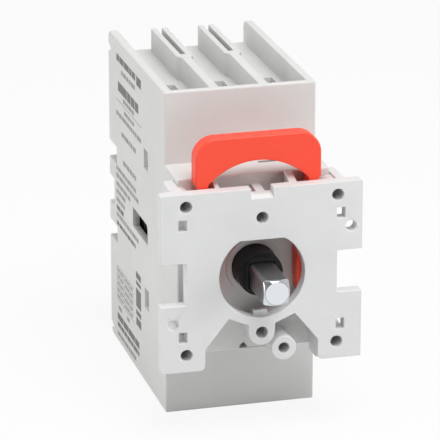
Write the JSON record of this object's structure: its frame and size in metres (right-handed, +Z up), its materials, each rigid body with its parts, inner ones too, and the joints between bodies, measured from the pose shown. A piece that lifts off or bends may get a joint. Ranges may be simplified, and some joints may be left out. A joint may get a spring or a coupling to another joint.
{
  "type": "rotary switch disconnector",
  "caption": "Rotary switch disconnector with wiring channels, square drive shaft, screw-on front plate, red release slider and a clip foot for a 35 mm rail.",
  "frame": {"origin": "centre of the rail seat at the back, on the shaft's axis", "axes": "+X right as seen from the front, the front and the shaft look towards -Y, +Z up"},
  "size_m": [0.048, 0.0961, 0.0794],
  "materials": {
    "housing_grey": "fine moulded grain",
    "plate_grey": "fine moulded grain",
    "release_red": "satin",
    "rotor_black": "satin",
    "shaft_steel": "drawn bar",
    "pin_steel": "ground",
    "carriage_black": "satin",
    "foot_grey": "fine moulded grain",
    "latch_black": "satin",
    "spring_steel": "drawn wire",
    "contact_copper": "stamped",
    "clamp_steel": "zinc plated",
    "screw_steel": "zinc plated"
  },
  "bodies": {
    "housing": {"main_housing": "housing_grey", "front_cover": "housing_grey", "door_plate": "plate_grey", "din_foot": "foot_grey", "latch_spring": "spring_steel", "terminal_screws": "screw_steel", "line_contact_1": "contact_copper", "load_contact_1": "contact_copper", "line_clamp_1": "clamp_steel", "load_clamp_1": "clamp_steel", "line_contact_2": "contact_copper", "load_contact_2": "contact_copper", "line_clamp_2": "clamp_steel", "load_clamp_2": "clamp_steel", "line_contact_3": "contact_copper", "load_contact_3": "contact_copper", "line_clamp_3": "clamp_steel", "load_clamp_3": "clamp_steel"},
    "shaft": {"rotor": "rotor_black", "shaft": "shaft_steel", "shaft_pin": "pin_steel"},
    "carriage": {"contact_carriage": "carriage_black", "bridge_contact_1": "contact_copper", "contact_spring_1": "spring_steel", "bridge_contact_2": "contact_copper", "contact_spring_2": "spring_steel", "bridge_contact_3": "contact_copper", "contact_spring_3": "spring_steel"},
    "release": {"release_slider": "release_red"},
    "latch": {"din_latch": "latch_black"}
  },
  "joints": [
    {"name": "shaft_turn", "type": "hinge", "parent": "housing", "child": "shaft", "pos_m": [0, -0.06, 0], "axis": [0, 1, 0], "range_deg": [0, 90]},
    {"name": "carriage_slide", "type": "slide", "parent": "housing", "child": "carriage", "axis": [0, 1, 0], "range_m": [0, 0.007]},
    {"name": "release_slide", "type": "slide", "parent": "housing", "child": "release", "axis": [0, 0, 1], "range_m": [0, 0.005]},
    {"name": "latch_slide", "type": "slide", "parent": "housing", "child": "latch", "axis": [0, 0, -1], "range_m": [0, 0.003], "stiffness_N_per_m": 1500, "deforming": ["latch_spring"]}
  ],
  "couplings": [
    {"joint": "shaft_turn", "follows": "carriage_slide", "rad_per_m": 224.39}
  ]
}
